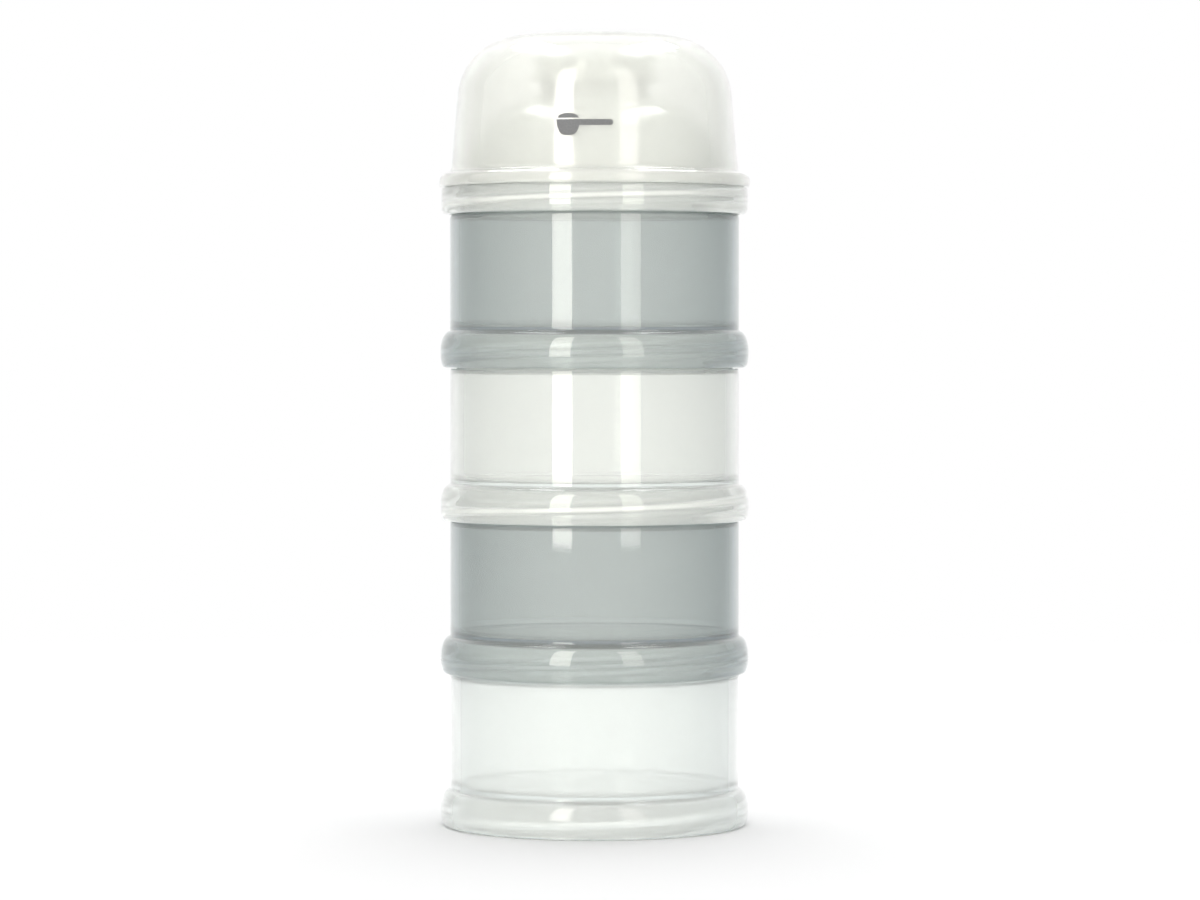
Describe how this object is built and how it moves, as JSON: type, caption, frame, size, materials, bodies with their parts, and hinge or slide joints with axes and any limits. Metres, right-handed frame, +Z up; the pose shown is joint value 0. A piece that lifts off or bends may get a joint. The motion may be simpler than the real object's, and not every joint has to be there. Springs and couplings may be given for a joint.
{
  "type": "formula dispenser",
  "caption": "Stacking milk powder tower of translucent screw-together compartments with bulging threaded rings, a pouring funnel with spout cap and a domed cover.",
  "frame": {"origin": "centre of the base rim, on the surface the tower stands on", "axes": "+Z up the tower towards the cover, +Y away from the side with the printed mark; every shell is turned about Z"},
  "size_m": [0.086, 0.086, 0.2191],
  "materials": {
    "clear_plastic": "clear, faintly milky polypropylene, polished",
    "grey_plastic": "smoke grey see-through polypropylene, polished"
  },
  "bodies": {
    "bottom_compartment": {"bottom_compartment": "clear_plastic"},
    "lower_compartment": {"lower_compartment": "grey_plastic"},
    "upper_compartment": {"upper_compartment": "clear_plastic"},
    "top_compartment": {"top_compartment": "grey_plastic"},
    "pouring_funnel": {"pouring_funnel": "clear_plastic"},
    "spout_cap": {"spout_cap": "clear_plastic"},
    "dome_cover": {"dome_cover": "clear_plastic"}
  },
  "joints": [
    {"name": "lower_compartment_lift", "type": "slide", "parent": "bottom_compartment", "child": "lower_compartment", "axis": [0, 0, 1], "range_m": [0, 0.025]},
    {"name": "upper_compartment_lift", "type": "slide", "parent": "lower_compartment", "child": "upper_compartment", "axis": [0, 0, 1], "range_m": [0, 0.025]},
    {"name": "top_compartment_lift", "type": "slide", "parent": "upper_compartment", "child": "top_compartment", "axis": [0, 0, 1], "range_m": [0, 0.025]},
    {"name": "funnel_lift", "type": "slide", "parent": "top_compartment", "child": "pouring_funnel", "axis": [0, 0, 1], "range_m": [0, 0.025]},
    {"name": "cover_lift", "type": "slide", "parent": "pouring_funnel", "child": "dome_cover", "axis": [0, 0, 1], "range_m": [0, 0.07]},
    {"name": "spout_cap_lift", "type": "slide", "parent": "pouring_funnel", "child": "spout_cap", "axis": [0, 0, 1], "range_m": [0, 0.0175]}
  ],
  "couplings": [
    {"joint": "spout_cap_lift", "follows": "cover_lift", "ratio": 0.25}
  ]
}
